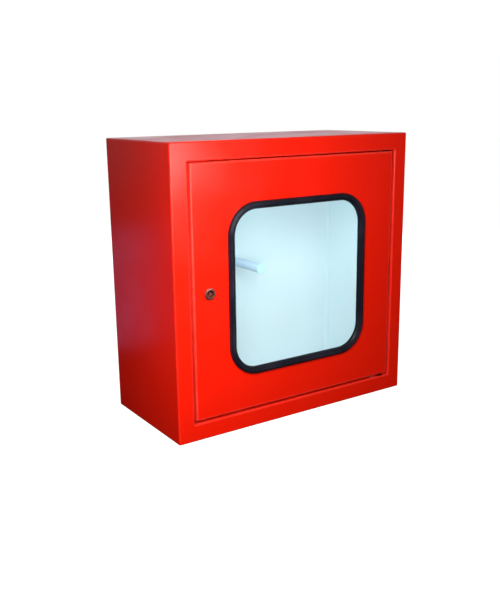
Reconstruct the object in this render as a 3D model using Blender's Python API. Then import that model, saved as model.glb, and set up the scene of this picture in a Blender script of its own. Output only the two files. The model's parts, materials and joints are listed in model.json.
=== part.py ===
"""Standpipe (fire hose) cabinet for wall mounting.

A folded sheet-steel box carries a flush hinged door with a rubber-glazed window, a quarter-turn
lock and a central hose peg. Metres, +Z up. The cabinet faces -Y and hangs on the wall at its +Y
side. The origin is at the middle of the bounding box's base.

The shell, the door, the gasket and the back panel are drawn as rings: each ring is a rounded
rectangle around the cabinet's middle, and a skin through the rings gives the folded sheet.
"""

import math

import bmesh
import bpy
from mathutils import Matrix, Vector

MM = 0.001

# Driving dimensions
WIDTH = 600 * MM
HEIGHT = 600 * MM
DEPTH = 280 * MM  # from the front border's face to the wall
SHEET = 1.6 * MM  # steel sheet thickness
BEND = 3.0 * MM  # outside radius of every fold
GAP = 0.3 * MM  # between pieces that touch
BORDER = 37 * MM  # width of the shell's front border
JAMB = 22 * MM  # depth of the lip folded back around the door opening
DOOR_GAP = 4 * MM  # between the door's edge and the jamb, on the lock side
HINGE_GAP = 7 * MM  # the same on the hinge side
TOP_GAP = 2.2 * MM
SILL_GAP = 5.8 * MM  # room for the lower pivot's washer
DOOR_PROUD = 1 * MM  # the door's face stands this far in front of the border
DOOR_DEPTH = 18 * MM  # depth of the door's edge flanges
DOOR_RETURN = 12 * MM  # width of the return fold behind the flanges

# Glazing. Sizes across the gasket's section are measured outwards from the visible glass edge.
GLASS_VIEW_WIDTH = 324 * MM
GLASS_VIEW_HEIGHT = 330 * MM
GLASS_VIEW_RADIUS = 52 * MM
WINDOW_DROP = 1.8 * MM  # the window's middle below the cabinet's
GLASS_THICKNESS = 4 * MM
GLASS_BITE = 7 * MM  # how far the glass reaches into the gasket
PANEL_BITE = 3.5 * MM  # how far the door sheet reaches into the gasket
GASKET_WEB = 5 * MM  # between the glass edge and the door sheet's edge
GASKET_PROUD = 7.5 * MM  # in front of the door's face
GASKET_REAR = 7.2 * MM  # behind the door's face
STRIP_PROUD = 8.0 * MM  # the locking strip's crest in front of the door's face

# Hinge pivots, near the door's right edge
PIVOT_INSET = 16 * MM  # axis to the door's right edge
PIVOT_BEHIND = 10 * MM  # axis behind the door's face
PIN_RADIUS = 3 * MM
BUSH_RADIUS = 4.5 * MM
THRUST_RADIUS = 8 * MM  # the bush's flange and the washer under it
BLOCK_HEIGHT = 8 * MM
SHIELD_LEG = 10 * MM  # the pivot block's rear leg, which closes the view through the gap
RUNNING_CLEARANCE = 0.1 * MM  # between a turning piece and its bore

# Stops behind the door on the lock side, the top and the bottom
STOP_REACH = 14 * MM  # how far the stop stands into the opening
SCREEN_REACH = 16 * MM  # the same for the rail that closes the view through the hinge gap
STOP_END_CLEARANCE = 14 * MM  # kept free beside the hinge axis for the door's corner to swing in
SEAL_END_CLEARANCE = 18 * MM
SEAL_WIDTH = 9 * MM

# Quarter-turn lock
LOCK_X = -222 * MM
LOCK_Z = 304 * MM
BARREL_RADIUS = 9.25 * MM
BEZEL_RADIUS = 12.5 * MM
CAM_REACH = 38 * MM
CAM_WIDTH = 16 * MM
CAM_THICKNESS = 2.2 * MM
SQUARE = 7 * MM  # the square drive that carries the cam
SPINDLE_RADIUS = 4.5 * MM

# Hose peg: a length of half-inch pipe on the back panel
PEG_Z = 303 * MM
PEG_REACH = 136 * MM
PEG_RADIUS = 10.65 * MM
PEG_WALL = 2.6 * MM

# Wall fixings: two keyholes above and one round hole below
KEYHOLE_X = 200 * MM
KEYHOLE_Z = 530 * MM
LOWER_HOLE_Z = 60 * MM
BACK_FLANGE = 15 * MM

# Places worked out from the driving dimensions
PROUD = DOOR_PROUD + STRIP_PROUD
FACE_Y = -(DEPTH - PROUD) / 2  # the front border's face
WALL_Y = FACE_Y + DEPTH
MID_Z = HEIGHT / 2
DOOR_Y = FACE_Y - DOOR_PROUD
DOOR_HALF_X = WIDTH / 2 - BORDER - DOOR_GAP
DOOR_HALF_Z = HEIGHT / 2 - BORDER - (TOP_GAP + SILL_GAP) / 2
DOOR_RISE = (SILL_GAP - TOP_GAP) / 2  # the door's middle above the cabinet's
STOP_FRONT = JAMB + GAP  # the stop's front face, behind the border's face
STOP_REAR = STOP_FRONT + SHEET
# Just behind the circle in which the door's corner swings
SCREEN_FRONT = PIVOT_BEHIND - DOOR_PROUD + math.hypot(PIVOT_INSET, PIVOT_BEHIND) + 1.5 * MM
HINGE_AXIS = Vector((DOOR_HALF_X - PIVOT_INSET, DOOR_Y + PIVOT_BEHIND, 0))
LOCK_AXIS = Vector((LOCK_X, DOOR_Y, LOCK_Z))
PEG_BASE_Y = WALL_Y - SHEET - GAP
PEG_TIP_Y = WALL_Y - SHEET - PEG_REACH

FOLD_STEPS = 3  # facets across a fold
EDGE_STEPS = 3  # facets around a box edge
WINDOW_STEPS = 9  # facets around a window corner
ROUND_STEPS = 32  # facets around a turned piece

# name: (red, green, blue), roughness, metallic
FINISHES = {
    "red_paint": ((0.72, 0.012, 0.006), 0.35, 0.0),
    "white_paint": ((0.72, 0.82, 0.85), 0.45, 0.0),
    "rubber": ((0.012, 0.014, 0.018), 0.6, 0.0),
    "foam": ((0.02, 0.02, 0.02), 0.9, 0.0),
    "glass": ((0.85, 0.95, 0.96), 0.03, 0.0),
    "chrome": ((0.75, 0.75, 0.76), 0.15, 1.0),
    "zinc": ((0.62, 0.63, 0.65), 0.35, 1.0),
    "dark_steel": ((0.17, 0.08, 0.07), 0.5, 1.0),
    "brass": ((0.62, 0.46, 0.18), 0.3, 1.0),
    "white_plastic": ((0.85, 0.88, 0.88), 0.4, 0.0),
}


def clear_scene():
    for item in list(bpy.data.objects):
        bpy.data.objects.remove(item)


def finish(name):
    """The named material, made once."""
    material = bpy.data.materials.get(name)
    if material is None:
        color, roughness, metallic = FINISHES[name]
        material = bpy.data.materials.new(name)
        material.use_nodes = True
        shader = material.node_tree.nodes["Principled BSDF"]
        shader.inputs["Base Color"].default_value = (*color, 1)
        shader.inputs["Roughness"].default_value = roughness
        shader.inputs["Metallic"].default_value = metallic
        material.diffuse_color = (*color, 1)
    return material


def link(obj, parent=None):
    bpy.context.scene.collection.objects.link(obj)
    obj.parent = parent
    return obj


def axis_empty(name, place):
    """An empty on a joint's axis, for the pieces that move with it."""
    empty = bpy.data.objects.new(name, None)
    empty.location = place
    return link(empty)


def solid(name, bm, material, parent=None):
    """An object from a bmesh drawn in the cabinet's frame, with its origin at its parent's."""
    bmesh.ops.remove_doubles(bm, verts=bm.verts, dist=1e-6)
    bmesh.ops.recalc_face_normals(bm, faces=bm.faces)
    mesh = bpy.data.meshes.new(name)
    bm.to_mesh(mesh)
    bm.free()
    if parent is not None:
        mesh.transform(Matrix.Translation(-parent.location))
    mesh.shade_smooth()
    mesh.set_sharp_from_angle(angle=math.radians(35))
    mesh.materials.append(finish(material))
    return link(bpy.data.objects.new(name, mesh), parent)


def cut(obj, cutter):
    """Takes the cutter's shape out of the object and hides the cutter."""
    cutter.hide_render = True
    cutter.display_type = "WIRE"
    modifier = obj.modifiers.new(cutter.name, "BOOLEAN")
    modifier.operation = "DIFFERENCE"
    modifier.object = cutter


# Outlines


def arc(centre_a, centre_b, radius, start, end, steps):
    """Points (a, b) along an arc, with its angles in degrees."""
    angles = [math.radians(start + (end - start) * step / steps) for step in range(steps + 1)]
    return [(centre_a + radius * math.cos(t), centre_b + radius * math.sin(t)) for t in angles]


def ring(half_x, half_z, radius, y, steps, shift_x=0, shift_z=0):
    """Points around a rounded rectangle about the cabinet's middle, or shifted, at depth y."""
    points = []
    for quadrant, (side_x, side_z) in enumerate(((1, 1), (-1, 1), (-1, -1), (1, -1))):
        corner_x = side_x * (half_x - radius)
        corner_z = side_z * (half_z - radius)
        start = 90 * quadrant
        for x, z in arc(corner_x, corner_z, radius, start, start + 90, steps):
            points.append(Vector((shift_x + x, y, MID_Z + shift_z + z)))
    return points


def skin(rings, closed=True):
    """A bmesh surface through the rings. An open one is capped at its first and last ring."""
    bm = bmesh.new()
    loops = [[bm.verts.new(point) for point in points] for points in rings]
    pairs = list(zip(loops, loops[1:]))
    if closed:
        pairs.append((loops[-1], loops[0]))
    for first, second in pairs:
        for i in range(len(first)):
            j = (i + 1) % len(first)
            bm.faces.new((first[i], first[j], second[j], second[i]))
    if not closed:
        bm.faces.new(loops[0])
        bm.faces.new(reversed(loops[-1]))
    return bm


def extruded(outline, start, end, place):
    """A bmesh prism. place(a, b, t) turns an outline point and a distance along into a point."""
    ends = [[Vector(place(a, b, t)) for a, b in outline] for t in (start, end)]
    return skin(ends, closed=False)


def turned(outline, centre, axis, hollow=False):
    """A bmesh body of revolution from (radius, distance along the axis) points."""
    bm = bmesh.new()
    verts = [bm.verts.new((radius, 0, along)) for radius, along in outline]
    edges = [bm.edges.new(pair) for pair in zip(verts, verts[1:])]
    if hollow:
        edges.append(bm.edges.new((verts[-1], verts[0])))
    bmesh.ops.spin(
        bm,
        geom=verts + edges,
        cent=(0, 0, 0),
        axis=(0, 0, 1),
        angle=math.tau,
        steps=ROUND_STEPS,
        use_merge=True,
    )
    turn = Vector((0, 0, 1)).rotation_difference(Vector(axis)).to_matrix().to_4x4()
    bmesh.ops.transform(bm, matrix=Matrix.Translation(centre) @ turn, verts=bm.verts)
    return bm


def tube(inner, outer, start, end):
    """Outline of a plain ring or tube for turned()."""
    return [(inner, start), (outer, start), (outer, end), (inner, end)]


def round_cutter(name, radius, centre, axis, reach, parent=None):
    outline = [(0, -reach), (radius, -reach), (radius, reach), (0, reach)]
    return solid(name, turned(outline, centre, axis), "zinc", parent)


# Shell and back panel


def cabinet_shell():
    """Four walls, the front border and the jamb lip, folded and welded as one sheet body."""
    jamb_radius = 1 * MM
    inner_fold = BEND - SHEET
    section = [(0, DEPTH)]
    section += arc(BEND, BEND, BEND, 180, 270, FOLD_STEPS)
    section += arc(BORDER - BEND, BEND, BEND, 270, 360, FOLD_STEPS)
    section += [(BORDER, JAMB), (BORDER - SHEET, JAMB)]
    section += arc(BORDER - BEND, BEND, inner_fold, 360, 270, FOLD_STEPS)
    section += arc(BEND, BEND, inner_fold, 270, 180, FOLD_STEPS)
    section += [(SHEET, DEPTH)]
    rings = []
    for inset, depth in section:
        half_x, half_z, y = WIDTH / 2 - inset, HEIGHT / 2 - inset, FACE_Y + depth
        if inset > BORDER / 2:
            radius = jamb_radius + BORDER - inset
            shift = (HINGE_GAP - DOOR_GAP) / 2
            rings.append(ring(half_x + shift, half_z, radius, y, EDGE_STEPS, shift))
        else:
            rings.append(ring(half_x, half_z, max(BEND - inset, 0), y, EDGE_STEPS))
    shell = solid("cabinet_shell", skin(rings), "red_paint")
    for name, z in (("upper", HEIGHT - BORDER), ("lower", BORDER)):
        place = (HINGE_AXIS.x, HINGE_AXIS.y, z)
        radius = PIN_RADIUS + GAP
        cut(shell, round_cutter(f"{name}_jamb_hole", radius, place, (0, 0, 1), 4 * SHEET))


def keyhole_outline(centre_x, centre_z):
    """A round entry for the screw's head with a slot above it for the shank."""
    head_radius, slot_radius, slot_length = 7 * MM, 3.5 * MM, 16 * MM
    opening = math.degrees(math.acos(slot_radius / head_radius))
    outline = arc(centre_x, centre_z, head_radius, 180 - opening, 360 + opening, 20)
    outline += arc(centre_x, centre_z + slot_length, slot_radius, 0, 180, 10)
    return outline


def back_panel():
    """A tray that closes the shell from behind, with its flanges welded inside the walls."""
    edge = SHEET + GAP
    inner_fold = BEND - SHEET
    section = arc(edge + BEND, DEPTH - BEND, BEND, 90, 180, FOLD_STEPS)
    section += [(edge, DEPTH - BACK_FLANGE), (edge + SHEET, DEPTH - BACK_FLANGE)]
    section += arc(edge + BEND, DEPTH - BEND, inner_fold, 180, 90, FOLD_STEPS)
    rings = []
    for inset, depth in section:
        radius = max(BEND + edge - inset, 0)
        rings.append(ring(WIDTH / 2 - inset, HEIGHT / 2 - inset, radius, FACE_Y + depth, EDGE_STEPS))
    panel = solid("back_panel", skin(rings, closed=False), "white_paint")

    reach = 5 * MM
    for name, side in (("left", -1), ("right", 1)):
        outline = keyhole_outline(side * KEYHOLE_X, KEYHOLE_Z)
        keyhole = extruded(outline, WALL_Y - reach, WALL_Y + reach, lambda x, z, y: (x, y, z))
        cut(panel, solid(f"{name}_keyhole", keyhole, "zinc"))
    place = (0, WALL_Y, LOWER_HOLE_Z)
    cut(panel, round_cutter("lower_wall_hole", 5 * MM, place, (0, 1, 0), reach))


# Door stops and seals


def on_left(inset, depth, along):
    return (-WIDTH / 2 + inset, FACE_Y + depth, along)


def on_right(inset, depth, along):
    return (WIDTH / 2 - inset, FACE_Y + depth, along)


def on_top(inset, depth, along):
    return (along, FACE_Y + depth, HEIGHT - inset)


def on_bottom(inset, depth, along):
    return (along, FACE_Y + depth, inset)


def door_stops():
    """An angle behind the jamb on three sides, each with a foam strip that the door closes on."""
    outer = BORDER - 2 * SHEET - GAP
    leg_start = 8 * MM
    angle = [
        (outer, leg_start),
        (outer + SHEET, leg_start),
        (outer + SHEET, STOP_FRONT),
        (BORDER + STOP_REACH, STOP_FRONT),
        (BORDER + STOP_REACH, STOP_REAR),
        (outer, STOP_REAR),
    ]
    seal_start = BORDER + DOOR_GAP + 1 * MM
    seal_front = DOOR_DEPTH - DOOR_PROUD + GAP
    strip = [
        (seal_start, seal_front),
        (seal_start + SEAL_WIDTH, seal_front),
        (seal_start + SEAL_WIDTH, STOP_FRONT - GAP),
        (seal_start, STOP_FRONT - GAP),
    ]
    # The left stop runs the full height; the others butt against it and end beside the hinge.
    across_start = -WIDTH / 2 + BORDER + STOP_REACH + GAP
    across_end = HINGE_AXIS.x - STOP_END_CLEARANCE
    seal_end = HINGE_AXIS.x - SEAL_END_CLEARANCE
    runs = (
        ("left", on_left, outer, HEIGHT - outer, seal_start, HEIGHT - seal_start),
        ("top", on_top, across_start, across_end, across_start, seal_end),
        ("bottom", on_bottom, across_start, across_end, across_start, seal_end),
    )
    for side, place, start, end, seal_from, seal_to in runs:
        solid(f"stop_rail_{side}", extruded(angle, start, end, place), "red_paint")
        solid(f"door_seal_{side}", extruded(strip, seal_from, seal_to, place), "foam")


def hinge_side_rail():
    """An angle behind the jamb on the hinge side, between the legs of the pivot blocks."""
    border = BORDER + DOOR_GAP - HINGE_GAP
    outer = border - 2 * SHEET - GAP
    leg_start = 8 * MM
    angle = [
        (outer, leg_start),
        (outer + SHEET, leg_start),
        (outer + SHEET, SCREEN_FRONT),
        (border + SCREEN_REACH, SCREEN_FRONT),
        (border + SCREEN_REACH, SCREEN_FRONT + SHEET),
        (outer, SCREEN_FRONT + SHEET),
    ]
    start = BORDER + SHIELD_LEG + GAP
    rail = extruded(angle, start, HEIGHT - start, on_right)
    solid("hinge_side_rail", rail, "red_paint")


# Hinge pivots


def hinge_pivot(name, side, door):
    """One end of the door's pivot. side is 1 at the top of the opening and -1 at the bottom."""
    gap = TOP_GAP if side > 0 else SILL_GAP
    jamb_z = MID_Z + side * (HEIGHT / 2 - BORDER)
    centre = (HINGE_AXIS.x, HINGE_AXIS.y, jamb_z)
    away = (0, 0, side)  # from the door towards the jamb

    # An angle: its top lies on the jamb lip, and its leg stands behind the door corner's sweep.
    block_start, block_front = SHEET + GAP, BEND + GAP
    block_end = block_start + BLOCK_HEIGHT
    leg_rear = SCREEN_FRONT + 2 * MM
    angle = [
        (block_front, block_start),
        (SCREEN_FRONT, block_start),
        (SCREEN_FRONT, -SHIELD_LEG),
        (leg_rear, -SHIELD_LEG),
        (leg_rear, block_end),
        (block_front, block_end),
    ]
    start, end = HINGE_AXIS.x - 12 * MM, HINGE_AXIS.x + 36 * MM
    body = extruded(angle, start, end, lambda y, z, x: (x, FACE_Y + y, jamb_z + side * z))
    pivot_block = solid(f"{name}_pivot_block", body, "dark_steel")
    radius, reach = PIN_RADIUS + GAP, 2 * BLOCK_HEIGHT
    cut(pivot_block, round_cutter(f"{name}_block_hole", radius, centre, (0, 0, 1), reach))

    head_radius, head_height, chamfer = 5 * MM, 3 * MM, 0.5 * MM
    head_start = block_end + GAP
    head_end = head_start + head_height
    tip = -10 * MM
    pin = [
        (0, tip),
        (PIN_RADIUS - chamfer, tip),
        (PIN_RADIUS, tip + chamfer),
        (PIN_RADIUS, head_start),
        (head_radius, head_start),
        (head_radius, head_end),
        (0, head_end),
    ]
    solid(f"{name}_pivot_pin", turned(pin, centre, away), "dark_steel")

    bore = PIN_RADIUS + RUNNING_CLEARANCE
    flange_start = -gap + GAP
    flange_end = flange_start + 1 * MM
    bush_end = -gap - 5 * MM
    bush = [
        (bore, bush_end),
        (BUSH_RADIUS, bush_end),
        (BUSH_RADIUS, flange_start),
        (THRUST_RADIUS, flange_start),
        (THRUST_RADIUS, flange_end),
        (bore, flange_end),
    ]
    solid(f"{name}_pivot_bush", turned(bush, centre, away, hollow=True), "brass", door)
    if side < 0:
        washer = tube(PIN_RADIUS + GAP, THRUST_RADIUS, flange_end + GAP, -GAP)
        solid("lower_thrust_washer", turned(washer, centre, away, hollow=True), "dark_steel")


# Door and window


def window_ring(outwards, y):
    """A ring this far outside the visible glass edge."""
    half_x = GLASS_VIEW_WIDTH / 2 + outwards
    half_z = GLASS_VIEW_HEIGHT / 2 + outwards
    radius = GLASS_VIEW_RADIUS + outwards
    return ring(half_x, half_z, radius, y, WINDOW_STEPS, shift_z=-WINDOW_DROP)


def door_panel(door):
    """The door sheet with its window cut-out, folded back at the edges and returned inwards."""
    corner_radius = 1.5 * MM
    inner_fold = BEND - SHEET
    rear = DOOR_DEPTH
    section = arc(BEND, BEND, BEND, 270, 180, FOLD_STEPS)
    section += arc(BEND, rear - BEND, BEND, 180, 90, FOLD_STEPS)
    section += [(DOOR_RETURN, rear), (DOOR_RETURN, rear - SHEET)]
    section += arc(BEND, rear - BEND, inner_fold, 90, 180, FOLD_STEPS)
    section += arc(BEND, BEND, inner_fold, 180, 270, FOLD_STEPS)
    cut_out = GLASS_BITE + GASKET_WEB
    rings = [window_ring(cut_out, DOOR_Y)]
    for inset, depth in section:
        radius = max(corner_radius - inset, 0)
        half_x, half_z = DOOR_HALF_X - inset, DOOR_HALF_Z - inset
        rings.append(ring(half_x, half_z, radius, DOOR_Y + depth, WINDOW_STEPS, 0, DOOR_RISE))
    rings.append(window_ring(cut_out, DOOR_Y + SHEET))
    panel = solid("door_panel", skin(rings), "red_paint", door)

    reach = 4 * MM
    for name, side in (("upper", 1), ("lower", -1)):
        place = (HINGE_AXIS.x, HINGE_AXIS.y, MID_Z + DOOR_RISE + side * DOOR_HALF_Z)
        radius = BUSH_RADIUS + GAP
        cut(panel, round_cutter(f"{name}_bush_hole", radius, place, (0, 0, 1), reach, door))
    hole = round_cutter("lock_hole", BARREL_RADIUS + GAP, LOCK_AXIS, (0, 1, 0), reach, door)
    cut(panel, hole)


def window(door):
    """The pane, its H-section rubber gasket and the strip that locks the gasket on."""
    glass_front = SHEET / 2 - GLASS_THICKNESS / 2
    glass_rear = glass_front + GLASS_THICKNESS
    pane = [window_ring(GLASS_BITE, DOOR_Y + depth) for depth in (glass_front, glass_rear)]
    solid("window_glass", skin(pane, closed=False), "glass", door)

    outer = GLASS_BITE + GASKET_WEB + PANEL_BITE
    glass_slot = GLASS_BITE + GAP
    panel_slot = GLASS_BITE + GASKET_WEB - GAP
    lip_inner = 6.4 * MM  # the locking groove's mouth, inner side
    lip_outer = 11.1 * MM  # the locking groove's mouth, outer side
    groove_floor = -4.2 * MM
    front = -GASKET_PROUD
    section = [
        (0, glass_front - GAP),
        (0, front + 5.2 * MM),
        (1.0 * MM, front + 3.7 * MM),
        (3.2 * MM, front + 1.7 * MM),
        (lip_inner, front + 0.3 * MM),
        (lip_inner + 0.5 * MM, groove_floor),
        (lip_outer - 0.5 * MM, groove_floor),
        (lip_outer, front),
        (outer - 2.6 * MM, front + 0.5 * MM),
        (outer - 0.9 * MM, front + 2.3 * MM),
        (outer, front + 4.9 * MM),
        (outer, -GAP),
        (panel_slot, -GAP),
        (panel_slot, SHEET + GAP),
        (outer, SHEET + GAP),
        (outer, 3.6 * MM),
        (outer - 1.2 * MM, 6 * MM),
        (12.5 * MM, GASKET_REAR),
        (4.5 * MM, GASKET_REAR),
        (1.6 * MM, 6.2 * MM),
        (0, 4.4 * MM),
        (0, glass_rear + GAP),
        (glass_slot, glass_rear + GAP),
        (glass_slot, glass_front - GAP),
    ]
    rings = [window_ring(outwards, DOOR_Y + depth) for outwards, depth in section]
    solid("window_gasket", skin(rings), "rubber", door)

    foot = groove_floor - GAP
    crest = -STRIP_PROUD
    section = [
        (lip_inner + 0.85 * MM, foot),
        (lip_outer - 0.85 * MM, foot),
        (lip_outer - 0.4 * MM, crest + 0.8 * MM),
        (lip_outer - 1.3 * MM, crest),
        (lip_inner + 1.3 * MM, crest),
        (lip_inner + 0.4 * MM, crest + 0.8 * MM),
    ]
    rings = [window_ring(outwards, DOOR_Y + depth) for outwards, depth in section]
    solid("gasket_lock_strip", skin(rings), "rubber", door)


# Lock


def polygon_ring(count, apothem, centre, y, points, turn=0):
    """A regular polygon about the lock's axis, with this many points along its outline."""
    part = math.tau / count
    result = []
    for step in range(points):
        angle = math.tau * step / points
        radius = apothem / math.cos((angle - turn) % part - part / 2)
        x = centre.x + radius * math.cos(angle)
        result.append(Vector((x, y, centre.z + radius * math.sin(angle))))
    return result


def circle_ring(radius, centre, y, points):
    return polygon_ring(points, radius, centre, y, points, math.pi / points)


def lock_fixed_parts(door, barrel_end):
    """The housing with its bezel, and the ring, washer and nut that clamp it to the door."""
    along = (0, 1, 0)
    ring_front = -1.1 * MM
    bezel_rear = ring_front - GAP
    bezel_front = -4.5 * MM
    recess_radius, recess_floor = 7 * MM, 5.3 * MM
    bore = SPINDLE_RADIUS + RUNNING_CLEARANCE
    housing = [
        (recess_radius, recess_floor),
        (recess_radius, bezel_front + 0.4 * MM),
        (recess_radius + 0.4 * MM, bezel_front),
        (BEZEL_RADIUS - 2.4 * MM, bezel_front),
        (BEZEL_RADIUS - 0.8 * MM, bezel_front + 0.7 * MM),
        (BEZEL_RADIUS, bezel_front + 1.9 * MM),
        (BEZEL_RADIUS, bezel_rear),
        (BARREL_RADIUS, bezel_rear),
        (BARREL_RADIUS, barrel_end),
        (bore, barrel_end),
        (bore, recess_floor),
    ]
    body = turned(housing, LOCK_AXIS, along, hollow=True)
    solid("lock_housing", body, "chrome", door)

    inner = BARREL_RADIUS + GAP
    sealing = tube(inner, BEZEL_RADIUS - 0.5 * MM, ring_front, -GAP)
    solid("lock_gasket", turned(sealing, LOCK_AXIS, along, hollow=True), "rubber", door)

    washer_start = SHEET + GAP
    washer_end = washer_start + 1 * MM
    washer = tube(inner, 12.5 * MM, washer_start, washer_end)
    solid("lock_washer", turned(washer, LOCK_AXIS, along, hollow=True), "zinc", door)

    nut_front = DOOR_Y + washer_end + GAP
    nut_rear = nut_front + 5 * MM
    points = 24
    rings = [
        polygon_ring(6, 12 * MM, LOCK_AXIS, nut_front, points),
        polygon_ring(6, 12 * MM, LOCK_AXIS, nut_rear, points),
        circle_ring(inner, LOCK_AXIS, nut_rear, points),
        circle_ring(inner, LOCK_AXIS, nut_front, points),
    ]
    solid("lock_nut", skin(rings), "zinc", door)


def lock_turning_parts(rotor, barrel_end):
    """The spindle with its triangular drive, and the cam with its washer and screw."""
    along = (0, 1, 0)
    shoulder = barrel_end + 0.6 * MM
    cam_front = shoulder + GAP
    cam_rear = cam_front + CAM_THICKNESS
    square_end = cam_rear - GAP
    disc_front, disc_rear = 2.2 * MM, 5.0 * MM
    post_front = -3.5 * MM

    # Rings from the triangular post at the front to the square drive at the rear.
    points = 24
    places = [
        (3, 2.6 * MM, post_front),
        (3, 2.9 * MM, post_front + 0.4 * MM),
        (3, 2.9 * MM, disc_front),
        (0, 6.6 * MM, disc_front),
        (0, 6.6 * MM, disc_rear),
        (0, SPINDLE_RADIUS, disc_rear),
        (0, SPINDLE_RADIUS, shoulder),
        (4, SQUARE / 2, shoulder),
        (4, SQUARE / 2, square_end),
    ]
    rings = []
    for sides, size, depth in places:
        y = LOCK_AXIS.y + depth
        if sides == 0:
            rings.append(circle_ring(size, LOCK_AXIS, y, points))
        else:
            turn = math.radians(90 if sides == 3 else 45)
            rings.append(polygon_ring(sides, size, LOCK_AXIS, y, points, turn))
    spindle = solid("lock_spindle", skin(rings, closed=False), "chrome", rotor)
    thread_radius = 2.0 * MM
    thread_end = 16 * MM  # bottom of the tapped hole, behind the door's face
    reach = square_end - thread_end
    place = LOCK_AXIS + Vector((0, square_end, 0))
    hole = round_cutter("spindle_hole", thread_radius + GAP, place, along, reach, rotor)
    cut(spindle, hole)

    def flat(x, z, y):
        return (LOCK_AXIS.x + x, LOCK_AXIS.y + y, LOCK_AXIS.z + z)

    half = CAM_WIDTH / 2
    outline = arc(0, 0, half, 0, 180, 10)
    outline += arc(0, half - CAM_REACH, half, 180, 360, 10)
    cam = solid("lock_cam", extruded(outline, cam_front, cam_rear, flat), "zinc", rotor)
    side = SQUARE / 2 + GAP
    square = [(-side, -side), (side, -side), (side, side), (-side, side)]
    cutter = extruded(square, cam_front - SHEET, cam_rear + SHEET, flat)
    cut(cam, solid("cam_square", cutter, "zinc", rotor))

    washer_front = cam_rear + GAP
    washer_rear = washer_front + 1.2 * MM
    washer = tube(thread_radius + GAP, 6.5 * MM, washer_front, washer_rear)
    solid("cam_washer", turned(washer, LOCK_AXIS, along, hollow=True), "zinc", rotor)

    head_front = washer_rear + GAP
    head_radius, head_height = 4.2 * MM, 2.8 * MM
    screw = [
        (0, thread_end + 2 * MM),
        (thread_radius, thread_end + 2 * MM),
        (thread_radius, head_front),
        (head_radius, head_front),
        (head_radius, head_front + 0.6 * head_height),
        (0.6 * head_radius, head_front + head_height),
        (0, head_front + head_height),
    ]
    solid("cam_screw", turned(screw, LOCK_AXIS, along), "zinc", rotor)


# Hose peg


def hose_peg():
    """A pipe welded to a flange on the back panel, with a plastic cap in its front end."""
    forwards = (0, -1, 0)
    base = (0, PEG_BASE_Y, PEG_Z)
    flange_thickness = 3 * MM
    flange_radius = 13.5 * MM
    flange = [(0, 0), (flange_radius, 0), (flange_radius, flange_thickness), (0, flange_thickness)]
    solid("peg_base_flange", turned(flange, base, forwards), "white_paint")

    tip = PEG_BASE_Y - PEG_TIP_Y
    cap_thickness = 4 * MM
    pipe_start = flange_thickness + GAP
    pipe_end = tip - cap_thickness - GAP
    bore = PEG_RADIUS - PEG_WALL
    pipe = tube(bore, PEG_RADIUS, pipe_start, pipe_end)
    solid("hose_peg", turned(pipe, base, forwards, hollow=True), "white_paint")

    cap_radius = PEG_RADIUS + 1.1 * MM
    stem_radius, stem_length = bore - GAP, 12 * MM
    cap_start = tip - cap_thickness
    cap = [
        (0, cap_start - stem_length),
        (stem_radius, cap_start - stem_length),
        (stem_radius, cap_start),
        (cap_radius, cap_start),
        (cap_radius, tip - 1.4 * MM),
        (cap_radius - 1.4 * MM, tip),
        (0, tip),
    ]
    solid("peg_end_cap", turned(cap, base, forwards), "white_plastic")


def main():
    clear_scene()
    door = axis_empty("door_hinge_axis", HINGE_AXIS)
    rotor = axis_empty("lock_axis", LOCK_AXIS)
    # The barrel ends just in front of the plane of the stop's rear face, so the cam clears it.
    barrel_end = STOP_REAR + DOOR_PROUD - 0.5 * MM

    cabinet_shell()
    back_panel()
    door_stops()
    hinge_side_rail()
    hose_peg()
    door_panel(door)
    window(door)
    hinge_pivot("upper", 1, door)
    hinge_pivot("lower", -1, door)
    lock_fixed_parts(door, barrel_end)
    lock_turning_parts(rotor, barrel_end)


main()
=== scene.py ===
"""Looks for the standpipe cabinet.

Every CAD node is stood for by a finer piece of the same size in the same place: folds have their
true bend radius, turned pieces their small chamfers, the glazing rubber its section and its butt
joint. Sizes come from the frame's boxes and joints. The cabinet faces -Y, and lengths are metres.
"""

import json
import math

import bmesh
import bpy
from mathutils import Matrix, Vector


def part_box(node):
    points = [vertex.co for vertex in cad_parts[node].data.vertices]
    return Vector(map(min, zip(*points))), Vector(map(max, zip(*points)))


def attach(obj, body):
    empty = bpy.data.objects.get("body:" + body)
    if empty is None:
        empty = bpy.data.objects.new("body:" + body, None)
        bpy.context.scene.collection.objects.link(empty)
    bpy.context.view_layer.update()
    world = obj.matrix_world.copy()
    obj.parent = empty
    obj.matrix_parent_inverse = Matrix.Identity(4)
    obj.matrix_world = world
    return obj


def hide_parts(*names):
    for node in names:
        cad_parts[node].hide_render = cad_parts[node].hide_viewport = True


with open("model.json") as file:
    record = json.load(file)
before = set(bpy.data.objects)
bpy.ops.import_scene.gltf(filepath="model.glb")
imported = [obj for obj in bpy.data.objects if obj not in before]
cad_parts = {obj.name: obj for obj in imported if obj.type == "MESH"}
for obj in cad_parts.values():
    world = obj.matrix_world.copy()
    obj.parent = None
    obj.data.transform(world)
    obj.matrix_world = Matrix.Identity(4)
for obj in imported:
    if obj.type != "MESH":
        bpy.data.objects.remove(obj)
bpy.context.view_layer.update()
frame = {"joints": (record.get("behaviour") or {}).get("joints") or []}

MM = 0.001

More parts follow.
